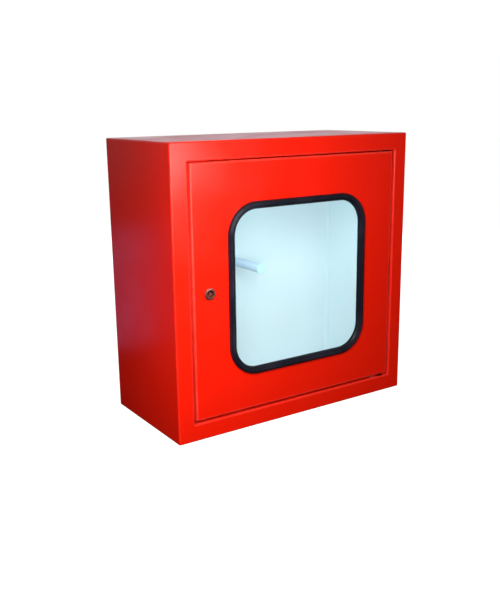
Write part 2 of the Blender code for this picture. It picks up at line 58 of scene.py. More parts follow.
# Sizes that the frame's boxes don't give
SHEET = 1.6 * MM
BEND = 3.0 * MM  # outside radius of a fold
PAINT = 0.2 * MM  # the white lining's share of the sheet
GAP = 0.3 * MM
GLASS_BITE = 7 * MM
GASKET_WEB = 5 * MM
VIEW_RADIUS = 52 * MM  # corner radius of the visible glass edge
OPENING_SHIFT = 1.5 * MM  # the door opening is this far right of the middle, and as much wider
FLAT_SUPPORT = 2 * MM  # from a fold to the row of points that keeps the flat beside it flat
PIN_RADIUS = 3 * MM
BUSH_RADIUS = 4.5 * MM  # of the barrel, which sits in the door
LOCK_BARREL = 9.25 * MM  # radius
DRIVE_HALF = 3.5 * MM  # half the width of the spindle's square end
KEYHOLE_ACROSS, KEYHOLE_RISE, WALL_HOLE_RISE = 200 * MM, 530 * MM, 60 * MM

UPWARDS, REARWARDS, FORWARDS = (0, 0, 1), (0, 1, 0), (0, -1, 0)

FOLD_STEPS = 8
CORNER_STEPS = 5
WINDOW_STEPS = 20
ROUND_STEPS = 64

shell_low, shell_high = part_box("cabinet_shell")
door_low, door_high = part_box("door_panel")
glass_low, glass_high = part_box("window_glass")
FACE_Y, WALL_Y = shell_low.y, shell_high.y
HALF_WIDTH, HEIGHT = shell_high.x, shell_high.z
MID_Z = HEIGHT / 2
DEPTH = WALL_Y - FACE_Y
DOOR_Y = door_low.y
DOOR_HALF = door_high.x
DOOR_RISE = (door_low.z + door_high.z) / 2 - MID_Z
DOOR_DEPTH = door_high.y - door_low.y
VIEW_HALF_X = glass_high.x - GLASS_BITE
VIEW_HALF_Z = (glass_high.z - glass_low.z) / 2 - GLASS_BITE
VIEW_SHIFT = (glass_low.z + glass_high.z) / 2 - MID_Z
JOINTS = {joint["name"]: Vector(joint["pos_m"]) for joint in frame["joints"]}
HINGE = JOINTS["door_hinge"]
LOCK = JOINTS["lock_turn"]
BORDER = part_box("stop_rail_left")[0].x + HALF_WIDTH + GAP + 2 * SHEET
JAMB = 22 * MM  # depth of the lip around the door opening


# ---------------------------------------------------------------- outlines and surfaces


def arc(centre_a, centre_b, radius, start, end, steps):
    """Points (a, b) along an arc, with its angles in degrees."""
    angles = [math.radians(start + (end - start) * step / steps) for step in range(steps + 1)]
    return [(centre_a + radius * math.cos(t), centre_b + radius * math.sin(t)) for t in angles]


def rounded(corners, radius, steps=4):
    """The closed outline with its corners rounded. A corner's third number is its own radius."""
    points = []
    for i, corner in enumerate(corners):
        here = Vector(corner[:2])
        before = Vector(corners[i - 1][:2]) - here
        after = Vector(corners[(i + 1) % len(corners)][:2]) - here
        wanted = corner[2] if len(corner) > 2 else radius
        reach = min(wanted, 0.45 * before.length, 0.45 * after.length)
        if reach <= 0:
            points.append(here)
            continue
        start = here + reach * before.normalized()
        end = here + reach * after.normalized()
        for step in range(steps + 1):
            t = step / steps
            points.append((1 - t) ** 2 * start + 2 * t * (1 - t) * here + t * t * end)
    return [(point.x, point.y) for point in points]


def ring(half_x, half_z, radius, y, steps, wear_highlight_level=0.0, shift=(0, 0), corner_wear_highlight=0.0):
    """Points (place, level of rubbed paint and painted highlight) around a rounded rectangle
    about the cabinet's middle, at depth y.

    The last argument is the least level of rubbed paint and painted highlight on the corners.
    """
    middle_x, middle_z = shift[0], MID_Z + shift[1]
    points = []
    for quadrant, (side_x, side_z) in enumerate(((1, 1), (-1, 1), (-1, -1), (1, -1))):
        corner_x = side_x * (half_x - radius)
        corner_z = side_z * (half_z - radius)
        start = 90 * quadrant
        turn = arc(corner_x, corner_z, radius, start, start + 90, steps)
        along = Vector((-math.sin(math.radians(start)), math.cos(math.radians(start))))
        first = Vector(turn[0]) - FLAT_SUPPORT * along
        across = Vector((-along.y, along.x))
        last = Vector(turn[-1]) + FLAT_SUPPORT * across
        points.append((Vector((middle_x + first.x, y, middle_z + first.y)), wear_highlight_level))
        for x, z in turn:
            points.append((Vector((middle_x + x, y, middle_z + z)), max(wear_highlight_level, corner_wear_highlight)))
        points.append((Vector((middle_x + last.x, y, middle_z + last.y)), wear_highlight_level))
    return points


def skin(rings, closed=True, wrapped=True):
    """A bmesh surface through rows of (place, level) points, the level being rubbed paint and painted
    highlight.

    closed joins the last row to the first; otherwise both are capped. wrapped joins each row's ends;
    otherwise the rows' ends are capped.
    """
    bm = bmesh.new()
    wear_and_highlight = bm.verts.layers.float.new("wear_and_highlight")
    rows = []
    for points in rings:
        row = []
        for place, wear_highlight_level in points:
            vert = bm.verts.new(place)
            vert[wear_and_highlight] = wear_highlight_level
            row.append(vert)
        rows.append(row)
    pairs = list(zip(rows, rows[1:]))
    if closed:
        pairs.append((rows[-1], rows[0]))
    count = len(rows[0])
    for first, second in pairs:
        for i in range(count if wrapped else count - 1):
            j = (i + 1) % count
            bm.faces.new((first[i], first[j], second[j], second[i]))
    if not closed:
        bm.faces.new(rows[0])
        bm.faces.new(reversed(rows[-1]))
    if not wrapped:
        bm.faces.new([row[0] for row in reversed(rows)])
        bm.faces.new([row[-1] for row in rows])
    return bm


def without_wear_highlight(points):
    """(place, level) points with no rubbed paint and no painted highlight."""
    return [(Vector(point), 0.0) for point in points]


def extruded(outline, start, end, place):
    """A bmesh prism. place(a, b, t) turns an outline point and a distance along into a point."""
    return skin([without_wear_highlight(place(a, b, t) for a, b in outline) for t in (start, end)], closed=False)


def turned(outline, centre, axis, steps=ROUND_STEPS):
    """A bmesh body of revolution from (radius, distance along the axis) points.

    An outline whose radius reaches 0 is open there, and any other closes on itself.
    """
    bm = bmesh.new()
    bm.verts.layers.float.new("wear_and_highlight")
    verts = [bm.verts.new((radius, 0, along)) for radius, along in outline]
    edges = [bm.edges.new(pair) for pair in zip(verts, verts[1:])]
    if min(radius for radius, along in outline) > 0:
        edges.append(bm.edges.new((verts[-1], verts[0])))
    bmesh.ops.spin(
        bm,
        geom=verts + edges,
        cent=(0, 0, 0),
        axis=(0, 0, 1),
        angle=math.tau,
        steps=steps,
        use_merge=True,
    )
    turn = Vector((0, 0, 1)).rotation_difference(Vector(axis)).to_matrix().to_4x4()
    bmesh.ops.transform(bm, matrix=Matrix.Translation(centre) @ turn, verts=bm.verts)
    return bm


def drill(place, axis, radius, reach, steps):
    """A round bmesh cutter that reaches this far to both sides of the place."""
    outline = [(0, -reach), (radius, -reach), (radius, reach), (0, reach)]
    return turned(outline, place, axis, steps)


def washer_outline(inner, outer, start, end, edge=0.25 * MM):
    """Outline of a washer or tube, with its edges rounded."""
    return rounded([(inner, start), (outer, start), (outer, end), (inner, end)], edge, 3)


def profile(corners, edge, steps=3):
    """Outline of a solid turned piece, from the axis out and back to it, with its corners rounded."""
    points = rounded(corners, edge, steps)
    return [(0, corners[0][1])] + [p for p in points if p[0] > 1e-7] + [(0, corners[-1][1])]


def new_object(name, bm):
    """A scene object from the bmesh, cleaned and with its faces turned outwards."""
    bmesh.ops.remove_doubles(bm, verts=bm.verts, dist=1e-6)
    bmesh.ops.dissolve_degenerate(bm, edges=bm.edges, dist=1e-7)
    bmesh.ops.recalc_face_normals(bm, faces=bm.faces)
    mesh = bpy.data.meshes.new(name)
    bm.to_mesh(mesh)
    bm.free()
    obj = bpy.data.objects.new(name, mesh)
    bpy.context.scene.collection.objects.link(obj)
    return obj


def settle(obj):
    """Makes the object's modifiers part of its mesh."""
    graph = bpy.context.evaluated_depsgraph_get()
    mesh = bpy.data.meshes.new_from_object(obj.evaluated_get(graph))
    obj.modifiers.clear()
    old = obj.data
    obj.data = mesh
    bpy.data.meshes.remove(old)


def carve(obj, *cutters):
    """Takes the bmesh cutters' shapes out of the object."""
    helpers = [new_object(f"{obj.name}_cutter", cutter) for cutter in cutters]
    for helper in helpers:
        modifier = obj.modifiers.new("cut", "BOOLEAN")
        modifier.operation = "DIFFERENCE"
        modifier.object = helper
    settle(obj)
    for helper in helpers:
        bpy.data.objects.remove(helper)


def bevelled(obj, width, segments=3, angle=40):
    """Rounds the object's edges that are sharper than the angle, in degrees."""
    modifier = obj.modifiers.new("edges", "BEVEL")
    modifier.width = width
    modifier.segments = segments
    modifier.limit_method = "ANGLE"
    modifier.angle_limit = math.radians(angle)
    settle(obj)


def piece(obj, material, body, slot, *nodes):
    """Finishes the object's shading and puts it in the frame in place of its CAD nodes."""
    mesh = obj.data
    mesh.shade_smooth()
    mesh.set_sharp_from_angle(angle=math.radians(38))
    modifier = obj.modifiers.new("flats", "WEIGHTED_NORMAL")
    modifier.keep_sharp = True
    mesh.materials.clear()
    mesh.materials.append(material)
    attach(obj, body)
    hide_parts(*nodes)
    return obj


# ---------------------------------------------------------------- materials


def add(tree, kind, inputs=None, **settings):
    """A new node. A socket among the inputs is linked, and any other value is set."""
    made = tree.nodes.new(kind)
    for key, value in settings.items():
        setattr(made, key, value)
    for key, value in (inputs or {}).items():
        if isinstance(value, bpy.types.NodeSocket):
            tree.links.new(value, made.inputs[key])
        else:
            made.inputs[key].default_value = value
    return made


def new_material(name, **sockets):
    """(tree, shader, coordinates) of a new Principled material with these values on its sockets."""
    made = bpy.data.materials.new(name)
    made.use_nodes = True
    tree = made.node_tree
    shader = tree.nodes["Principled BSDF"]
    for key, value in sockets.items():
        shader.inputs[key.replace("_", " ")].default_value = value
    place = add(tree, "ShaderNodeTexCoord").outputs["Object"]
    return made, tree, shader, place


def noise(tree, place, scale, detail=2.0, roughness=0.5):
    """A noise value about 0.5."""
    inputs = {"Vector": place, "Scale": scale, "Detail": detail, "Roughness": roughness}
    return add(tree, "ShaderNodeTexNoise", inputs).outputs["Fac"]


def remap(tree, value, low, high, to_low=0.0, to_high=1.0):
    """The value eased from one range to another."""
    inputs = {0: value, 1: low, 2: high, 3: to_low, 4: to_high}
    return add(tree, "ShaderNodeMapRange", inputs, interpolation_type="SMOOTHSTEP").outputs[0]


def math_node(tree, operation, first, second=0.0):
    """The result of a math operation on two values."""
    return add(tree, "ShaderNodeMath", {0: first, 1: second}, operation=operation).outputs[0]


def blend_colors(tree, share, first, second):
    """The first colour where the share is 0, and the second where it is 1."""
    return add(tree, "ShaderNodeMix", {0: share, 6: first, 7: second}, data_type="RGBA").outputs[2]


def bump(tree, height, distance, below=None):
    """A normal for the height, on top of the normal below it."""
    inputs = {"Height": height, "Distance": distance}
    if below is not None:
        inputs["Normal"] = below
    return add(tree, "ShaderNodeBump", inputs).outputs["Normal"]


def link(tree, socket, shader, name):
    """Feeds the socket into the shader's named input."""
    tree.links.new(socket, shader.inputs[name])


def red_paint():
    """Gloss red powder coat: orange peel, a slight unevenness, folds painted lighter as rubbed paint
    and a painted highlight, and a little dust.
    """
    made, tree, shader, place = new_material("gloss_red_paint")
    broad = noise(tree, place, 5, 3)
    base = blend_colors(tree, broad, (0.79, 0.0085, 0.0015, 1), (0.87, 0.0125, 0.0022, 1))
    mottle = remap(tree, noise(tree, place, 60, 3, 0.5), 0.35, 0.7, 0, 0.05)
    base = blend_colors(tree, mottle, base, (0.66, 0.006, 0.003, 1))
    # Lighter pink along the folds: partly rubbed paint, mostly a painted highlight on the folded
    # edges.
    fold = add(tree, "ShaderNodeAttribute", attribute_name="wear_and_highlight").outputs["Fac"]
    wear_highlight_noise = remap(tree, noise(tree, place, 30, 5, 0.65), 0.3, 0.7, 0.45, 1.0)
    wear_highlight_share = math_node(tree, "MULTIPLY", fold, wear_highlight_noise)
    base = blend_colors(tree, wear_highlight_share, base, (0.95, 0.12, 0.09, 1))
    link(tree, base, shader, "Base Color")
    smudge = remap(tree, noise(tree, place, 14, 4, 0.6), 0.3, 0.75, 0.28, 0.40)
    link(tree, smudge, shader, "Roughness")
    peel = bump(tree, noise(tree, place, 520, 2, 0.45), 0.00005)
    link(tree, bump(tree, noise(tree, place, 7, 1), 0.001, peel), shader, "Normal")
    return made


def white_paint(name, color, shade):
    """Satin white paint, with slight streaks and roller texture."""
    made, tree, shader, place = new_material(name)
    shader.inputs["Specular IOR Level"].default_value = 0.35
    cloud = remap(tree, noise(tree, place, 6, 4, 0.55), 0.3, 0.75)
    base = blend_colors(tree, math_node(tree, "MULTIPLY", cloud, 0.6), color, shade)
    scuff = remap(tree, noise(tree, place, 150, 5, 0.7), 0.62, 0.75, 0, 0.12)
    base = blend_colors(tree, scuff, base, (0.55, 0.58, 0.60, 1))
    link(tree, base, shader, "Base Color")
    link(tree, remap(tree, noise(tree, place, 25, 3), 0.3, 0.7, 0.38, 0.52), shader, "Roughness")
    link(tree, bump(tree, noise(tree, place, 420, 2, 0.5), 0.00005), shader, "Normal")
    return made


def rubber(name, color, bloom, shine):
    """Extruded black rubber: fine drag marks, and a greyish bloom in patches."""
    made, tree, shader, place = new_material(name)
    shader.inputs["Specular IOR Level"].default_value = shine
    patch = remap(tree, noise(tree, place, 16, 5, 0.6), 0.42, 0.75)
    base = blend_colors(tree, math_node(tree, "MULTIPLY", patch, 0.5), color, bloom)
    grain = noise(tree, place, 1100, 3, 0.6)
    base = blend_colors(tree, remap(tree, grain, 0.55, 0.8, 0, 0.25), base, bloom)
    link(tree, base, shader, "Base Color")
    link(tree, remap(tree, patch, 0, 1, 0.30, 0.50), shader, "Roughness")
    link(tree, bump(tree, grain, 0.00005), shader, "Normal")
    return made


def foam():
    """Black closed-cell foam strip with open cells on its cut face."""
    made, tree, shader, place = new_material("cell_foam", Roughness=0.9)
    inputs = {"Vector": place, "Scale": 900}
    cells = add(tree, "ShaderNodeTexVoronoi", inputs).outputs["Distance"]
    depth = remap(tree, cells, 0.05, 0.55)
    # Darker in the cells' hollows: painted shade.
    base = blend_colors(tree, depth, (0.006, 0.006, 0.007, 1), (0.035, 0.035, 0.038, 1))
    link(tree, base, shader, "Base Color")
    link(tree, bump(tree, depth, 0.0003), shader, "Normal")
    return made


def plated(name, color, dull, roughness, scratch_scale):
    """Plated metal: fine scratches, and patches where the plating is duller."""
    made, tree, shader, place = new_material(name, Metallic=1.0)
    patch = remap(tree, noise(tree, place, 120, 4, 0.6), 0.4, 0.75)
    link(tree, blend_colors(tree, patch, color, dull), shader, "Base Color")
    stretch = add(tree, "ShaderNodeMapping", {"Vector": place, "Scale": (1, 1, 6)}).outputs[0]
    scratch = noise(tree, stretch, scratch_scale, 4, 0.7)
    low, high = roughness
    link(tree, remap(tree, scratch, 0.3, 0.75, low, high), shader, "Roughness")
    link(tree, bump(tree, scratch, 0.00002), shader, "Normal")
    return made


def moulded_plastic():
    """White moulded plastic, slightly cloudy, with a fine texture."""
    made, tree, shader, place = new_material("white_moulded_plastic")
    cloud = noise(tree, place, 60, 3)
    base = blend_colors(tree, cloud, (0.46, 0.70, 0.74, 1), (0.50, 0.74, 0.78, 1))
    link(tree, base, shader, "Base Color")
    link(tree, remap(tree, cloud, 0.3, 0.7, 0.3, 0.42), shader, "Roughness")
    link(tree, bump(tree, noise(tree, place, 900, 2), 0.00004), shader, "Normal")
    return made


def pane_glass():
    """Float glass with a faint tint and finger smears. Lamps and bounced light go straight through."""
    made, tree, shader, place = new_material("float_glass", IOR=1.45)
    shader.inputs["Transmission Weight"].default_value = 1.0
    smear = remap(tree, noise(tree, place, 22, 5, 0.65), 0.5, 0.8, 0.0, 0.05)
    link(tree, smear, shader, "Roughness")
    tint = blend_colors(tree, noise(tree, place, 3), (0.90, 0.985, 0.99, 1), (0.93, 0.99, 0.995, 1))
    link(tree, tint, shader, "Base Color")
    clear = add(tree, "ShaderNodeBsdfTransparent", {"Color": (0.93, 0.985, 0.99, 1)})
    path = add(tree, "ShaderNodeLightPath")
    through = math_node(
        tree, "MAXIMUM", path.outputs["Is Shadow Ray"], path.outputs["Is Diffuse Ray"]
    )
    pane = add(tree, "ShaderNodeMixShader", {0: through})
    tree.links.new(shader.outputs[0], pane.inputs[1])
    tree.links.new(clear.outputs[0], pane.inputs[2])
    tree.links.new(pane.outputs[0], tree.nodes["Material Output"].inputs["Surface"])
    return made


RED = red_paint()
WHITE = white_paint("satin_white_paint", (0.77, 0.87, 0.91, 1), (0.74, 0.85, 0.89, 1))
# The peg's paint is a darker, bluer copy of the white paint: painted shade on the peg.
SHADED_PEG_WHITE = white_paint("white_paint_painted_shade", (0.61, 0.71, 0.85, 1), (0.57, 0.67, 0.82, 1))
RUBBER = rubber("gasket_rubber", (0.007, 0.007, 0.013, 1), (0.020, 0.020, 0.034, 1), 0.42)
# The filler strip's rubber is a little lighter than the gasket's: a painted highlight line along the
# strip.
STRIP_RUBBER = rubber("strip_rubber", (0.010, 0.011, 0.020, 1), (0.035, 0.037, 0.055, 1), 0.5)
FOAM = foam()
# The chrome is tinted red: a painted reflection of the red door.
CHROME_PAINTED_RED_REFLECTION = plated("satin_chrome_painted_red_reflection", (0.72, 0.30, 0.25, 1), (0.56, 0.21, 0.17, 1), (0.52, 0.66), 500)
ZINC = plated("zinc_plate", (0.62, 0.64, 0.68, 1), (0.48, 0.49, 0.50, 1), (0.28, 0.50), 350)
# Dark red: red overspray, darkened as painted shade of the gap the pivots sit in.
STEEL_PAINTED_GAP_SHADE = plated("red_oversprayed_steel_painted_shade", (0.30, 0.06, 0.05, 1), (0.17, 0.04, 0.035, 1), (0.45, 0.65), 350)
# The bushes' brass is darkened: painted shade of the gap they sit in.
BRONZE_PAINTED_GAP_SHADE = plated("bronze_painted_shade", (0.16, 0.09, 0.05, 1), (0.08, 0.05, 0.03, 1), (0.35, 0.6), 600)
PLASTIC = moulded_plastic()
GLASS = pane_glass()


# ---------------------------------------------------------------- cabinet


def rings_of(section, half_x, half_z, y, steps, corner, shift=lambda inset: 0, rise=0.0):
    """A ring for each (inset, depth, level of rubbed paint and painted highlight) point of the
    section, measured from the outside.

    shift gives how far a ring's right side stands out, as half of that distance, and rise how far
    the rings' middle is above the cabinet's.
    """
    rings = []
    for inset, depth, wear_highlight_level in section:
        out = shift(inset)
        wide, high = half_x - inset + out, half_z - inset
        edge = 0.1 if inset == 0 else 0.0
        rings.append(ring(wide, high, corner(inset), y + depth, steps, wear_highlight_level, (out, rise), edge))
    return rings


def with_wear_highlight(points, wear_highlight_level):
    """(inset, depth) points with this level of rubbed paint and painted highlight added to each."""
    return [(a, b, wear_highlight_level) for a, b in points]


def jamb_holes():
    """Cutters for the hinge pins' holes through the jamb lip."""
    places = [(HINGE.x, HINGE.y, z) for z in (HEIGHT - BORDER, BORDER)]
    return [drill(place, UPWARDS, PIN_RADIUS + GAP, 4 * SHEET, 32) for place in places]


def cabinet_corner(inset):
    """Corner radius of a ring this far in from the cabinet's outside."""
    if inset > BORDER / 2:
        return 1 * MM + BORDER - inset
    return max(BEND - inset, 0.2 * MM)


def opening_shift(inset):
    """How far right of the middle a ring is: the door opening's rings are, the box's aren't."""
    return OPENING_SHIFT if inset > BORDER / 2 else 0


def shell():
    """The red sheet, and the white lining painted on its inside."""
    inner_fold = BEND - SHEET
    near, far = BEND + FLAT_SUPPORT, BORDER - BEND - FLAT_SUPPORT
    thin = SHEET - PAINT
    section = [(0, DEPTH, 0), (0, near, 0)]
    # The fold levels below paint the folds lighter: rubbed paint and a painted highlight, strongest on
    # the jamb lip.
    section += with_wear_highlight(arc(BEND, BEND, BEND, 180, 270, FOLD_STEPS), 0.05)
    section += [(near, 0, 0), (far, 0, 0)]
    section += with_wear_highlight(arc(BORDER - BEND, BEND, BEND, 270, 360, FOLD_STEPS), 0.15)
    section += [(BORDER, near, 0.1), (BORDER, JAMB, 0.4), (BORDER - thin, JAMB, 0)]
    fold = inner_fold + PAINT
    section += with_wear_highlight(arc(BORDER - BEND, BEND, fold, 360, 270, FOLD_STEPS), 0)
    section += with_wear_highlight(arc(BEND, BEND, fold, 270, 180, FOLD_STEPS), 0)
    section += [(thin, DEPTH, 0)]
    size = (HALF_WIDTH, MID_Z, FACE_Y, CORNER_STEPS)
    rings = rings_of(section, *size, cabinet_corner, opening_shift)
    sheet = new_object("shell_sheet", skin(rings))
    carve(sheet, *jamb_holes())
    piece(sheet, RED, "root", "red_paint", "cabinet_shell")

    hair = 0.04 * MM  # keeps the lining's back off the sheet
    section = []
    for radius, inset, end in ((fold - hair, thin + hair, 1), (inner_fold, SHEET, -1)):
        run = [(inset, DEPTH - 0.5 * MM, 0)]
        run += with_wear_highlight(arc(BEND, BEND, radius, 180, 270, FOLD_STEPS), 0)
        run += with_wear_highlight(arc(BORDER - BEND, BEND, radius, 270, 360, FOLD_STEPS), 0)
        run += [(BORDER - inset, JAMB, 0)]
        section += run[::end]
    rings = rings_of(section, *size, cabinet_corner, opening_shift)
    lining = new_object("shell_lining", skin(rings))
    carve(lining, *jamb_holes())
    piece(lining, WHITE, "root", "white_paint", "cabinet_shell")


def keyhole(centre_x, centre_z, reach):
    """A cutter for a hole to hang the cabinet on: a round head with a slot above it."""
    head_radius, slot_radius, slot_length = 7 * MM, 3.5 * MM, 16 * MM
    opening = math.degrees(math.acos(slot_radius / head_radius))
    outline = arc(centre_x, centre_z, head_radius, 180 - opening, 360 + opening, 40)
    outline += arc(centre_x, centre_z + slot_length, slot_radius, 0, 180, 20)
    return extruded(outline, WALL_Y - reach, WALL_Y + reach, lambda x, z, y: (x, y, z))


def back_panel():
    """The white tray, with its two keyholes and its lower wall hole."""
    tray_low, tray_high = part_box("back_panel")
    edge = HALF_WIDTH - tray_high.x
    flange = tray_high.y - tray_low.y
    inner_fold = BEND - SHEET
    section = [(edge + BEND + FLAT_SUPPORT, DEPTH, 0)]
    section += with_wear_highlight(arc(edge + BEND, DEPTH - BEND, BEND, 90, 180, FOLD_STEPS), 1)
    section += [(edge, DEPTH - flange, 0), (edge + SHEET, DEPTH - flange, 0)]
    section += with_wear_highlight(arc(edge + BEND, DEPTH - BEND, inner_fold, 180, 90, FOLD_STEPS), 0)
    section += [(edge + BEND + FLAT_SUPPORT, DEPTH - SHEET, 0)]
    rings = rings_of(
        section,
        HALF_WIDTH,
        MID_Z,
        FACE_Y,
        CORNER_STEPS,
        lambda inset: max(BEND + edge - inset, 0.2 * MM),
    )
    tray = new_object("back_tray", skin(rings, closed=False))
    reach = radius = 5 * MM
    lower = drill((0, WALL_Y, WALL_HOLE_RISE), REARWARDS, radius, reach, 40)
    holes = [keyhole(side * KEYHOLE_ACROSS, KEYHOLE_RISE, reach) for side in (-1, 1)]
    carve(tray, lower, *holes)
    piece(tray, WHITE, "root", "white_paint", "back_panel")


def angle_outline(outer, tip, front, rear):
    """A folded angle, by its distances in from the cabinet's side and back from its face."""
    corners = [
        (outer, front, 0.4 * MM),
        (outer + SHEET, front, 0.4 * MM),
        (outer + SHEET, rear - SHEET, 0.4 * MM),
        (tip, rear - SHEET, 0.4 * MM),
        (tip, rear, 0.4 * MM),
        (outer, rear, 2.2 * MM),
    ]
    return rounded(corners, 0, 5)


def door_stops():
    """The angles that the door closes against, with a foam strip on each."""
    runs = (
        ("left", lambda a, b, t: (-HALF_WIDTH + a, FACE_Y + b, t), 2),
        ("top", lambda a, b, t: (t, FACE_Y + b, HEIGHT - a), 0),
        ("bottom", lambda a, b, t: (t, FACE_Y + b, a), 0),
    )
    for side, place, along in runs:
        low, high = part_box(f"stop_rail_{side}")
        outer = BORDER - 2 * SHEET - GAP
        reach = high.x - low.x if side == "left" else high.z - low.z
        outline = angle_outline(outer, outer + reach, low.y - FACE_Y, high.y - FACE_Y)
        rail = new_object(f"{side}_stop_angle", extruded(outline, low[along], high[along], place))
        piece(rail, RED, "root", "red_paint", f"stop_rail_{side}")

        low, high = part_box(f"door_seal_{side}")
        start = {"left": low.x + HALF_WIDTH, "top": HEIGHT - high.z, "bottom": low.z}[side]
        width = high.x - low.x if side == "left" else high.z - low.z
        front, rear = low.y - FACE_Y, high.y - FACE_Y
        corners = [
            (start, front, 1.8 * MM),
            (start + width, front, 1.8 * MM),
            (start + width, rear, 0.3 * MM),
            (start, rear, 0.3 * MM),
        ]
        outline = rounded(corners, 0, 5)
        strip = new_object(f"{side}_foam_strip", extruded(outline, low[along], high[along], place))
        piece(strip, FOAM, "root", "foam", f"door_seal_{side}")


def hinge_side_rail():
    """The angle behind the jamb that closes the view through the gap on the hinge side."""
    low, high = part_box("hinge_side_rail")
    outer, tip = HALF_WIDTH - high.x, HALF_WIDTH - low.x
    outline = angle_outline(outer, tip, low.y - FACE_Y, high.y - FACE_Y)
    angle = extruded(outline, low.z, high.z, lambda a, b, t: (HALF_WIDTH - a, FACE_Y + b, t))
    piece(new_object("screen_angle", angle), RED, "root", "red_paint", "hinge_side_rail")


def weld_bead(obj, centre, radius, height):
    """Ripples the points of a turned weld around the Y axis, in the way a weld pool freezes."""
    for vert in obj.data.vertices:
        offset = vert.co - centre
        around = math.atan2(offset.z, offset.x)
        from_axis = math.hypot(offset.x, offset.z)
        share = max(0.0, 1 - abs(from_axis - radius) / height)
        ripple = 0.22 * MM * math.sin(26 * around) + 0.15 * MM * math.sin(7 * around + 1)
        vert.co.y += share * ripple


def hose_peg():
    """The pipe, its welded foot on the back panel, and the plastic cap in its front end."""
    foot_low, foot_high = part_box("peg_base_flange")
    pipe_low, pipe_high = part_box("hose_peg")
    cap_low, cap_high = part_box("peg_end_cap")
    centre = Vector((0, foot_high.y, (foot_low.z + foot_high.z) / 2))
    foot_radius, thickness = foot_high.x, foot_high.y - foot_low.y
    pipe_radius = pipe_high.x
    corners = [
        (0, 0),
        (foot_radius, 0, 0.2 * MM),
        (foot_radius, thickness * 0.75, 0.9 * MM),
        (pipe_radius + 1.2 * MM, thickness, 1.2 * MM),
        (0, thickness),
    ]
    foot = new_object("peg_foot", turned(profile(corners, 0, 5), centre, FORWARDS, 96))
    weld_bead(foot, centre, pipe_radius + 1.4 * MM, 2 * MM)
    piece(foot, WHITE, "root", "white_paint", "peg_base_flange")

    start, end = centre.y - pipe_high.y, centre.y - pipe_low.y
    bore = pipe_radius - 2.6 * MM
    outline = washer_outline(bore, pipe_radius, start, end, 0.5 * MM)
    pipe = new_object("peg_pipe", turned(outline, centre, FORWARDS))
    piece(pipe, SHADED_PEG_WHITE, "root", "white_paint", "hose_peg")

    start, end = centre.y - cap_high.y, centre.y - cap_low.y
    head = end - 4 * MM
    stem = bore - GAP
    corners = [
        (0, start),
        (stem - 0.8 * MM, start, 0.5 * MM),
        (stem, start + 2 * MM, 0.5 * MM),
        (stem, head, 0),
        (cap_high.x, head, 0.4 * MM),
        (cap_high.x, end - 0.5 * MM, 1.6 * MM),
        (cap_high.x - 2.4 * MM, end, 1.2 * MM),
        (1.6 * MM, end - 0.1 * MM, 0.3 * MM),
        (1.2 * MM, end - 0.5 * MM, 0.2 * MM),
        (0, end - 0.5 * MM),
    ]
    cap = new_object("peg_cap", turned(profile(corners, 0, 4), centre, FORWARDS))
    piece(cap, PLASTIC, "root", "white_plastic", "peg_end_cap")


def pivot_angle(low, high, side):
    """A bmesh angle section: its top lies on the jamb lip and its leg closes the gap from behind."""
    thick, leg = 8 * MM, 2 * MM
    base, end = (high.z, low.z) if side > 0 else (low.z, high.z)  # the far face, the leg's tip
    corners = [
        (low.y, base),
        (low.y, base - side * thick),
        (high.y - leg, base - side * thick),
        (high.y - leg, end),
        (high.y, end),
        (high.y, base, 2 * MM),
    ]
    outline = rounded(corners, 0, 4)
    return extruded(outline, low.x, high.x, lambda y, z, x: (x, y, z))


def pivots():
    """The hinge pins in their blocks, and the door's bushes that turn on them."""
    for name, side in (("upper", 1), ("lower", -1)):
        low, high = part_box(f"{name}_pivot_block")
        block = new_object(f"{name}_hinge_block", pivot_angle(low, high, side))
        axis_point = (HINGE.x, HINGE.y, low.z)
        carve(block, drill(axis_point, UPWARDS, PIN_RADIUS + GAP, 40 * MM, 32))
        bevelled(block, 0.4 * MM, 2)
        piece(block, STEEL_PAINTED_GAP_SHADE, "root", "dark_steel", f"{name}_pivot_block")

        away = (0, 0, side)
        low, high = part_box(f"{name}_pivot_pin")
        length = high.z - low.z
        tip = Vector((HINGE.x, HINGE.y, low.z if side > 0 else high.z))
        head_radius, head = high.x - HINGE.x, 3 * MM
        corners = [
            (0, 0),
            (PIN_RADIUS, 0, 0.8 * MM),
            (PIN_RADIUS, length - head, 0),
            (head_radius, length - head, 0.2 * MM),
            (head_radius, length - 0.2 * MM, 0.8 * MM),
            (head_radius - 1.5 * MM, length, 0.5 * MM),
            (0, length),
        ]
        pin = new_object(f"{name}_hinge_pin", turned(profile(corners, 0), tip, away, 40))
        piece(pin, STEEL_PAINTED_GAP_SHADE, "root", "dark_steel", f"{name}_pivot_pin")

        low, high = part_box(f"{name}_pivot_bush")
        length = high.z - low.z
        inner_end = Vector((HINGE.x, HINGE.y, low.z if side > 0 else high.z))
        flange_radius = high.x - HINGE.x
        bore, barrel, flange = 3.1 * MM, BUSH_RADIUS, 1 * MM
        corners = [
            (bore, 0),
            (barrel, 0),
            (barrel, length - flange, 0),
            (flange_radius, length - flange),
            (flange_radius, length),
            (bore, length),
        ]
        outline = rounded(corners, 0.25 * MM, 3)
        bush = new_object(f"{name}_hinge_bush", turned(outline, inner_end, away, 40))
        piece(bush, BRONZE_PAINTED_GAP_SHADE, "door", "brass", f"{name}_pivot_bush")

    low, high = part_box("lower_thrust_washer")
    outline = washer_outline(PIN_RADIUS + GAP, high.x - HINGE.x, 0, high.z - low.z)
    washer = new_object("hinge_washer", turned(outline, (HINGE.x, HINGE.y, low.z), UPWARDS, 40))
    piece(washer, STEEL_PAINTED_GAP_SHADE, "root", "dark_steel", "lower_thrust_washer")


# ---------------------------------------------------------------- door


def window_ring(outwards, y, wear_highlight_level=0.0):
    """A ring this far outside the visible glass edge."""
    half_x, half_z = VIEW_HALF_X + outwards, VIEW_HALF_Z + outwards
    shift = (0, VIEW_SHIFT)
    return ring(half_x, half_z, VIEW_RADIUS + outwards, y, WINDOW_STEPS, wear_highlight_level, shift)


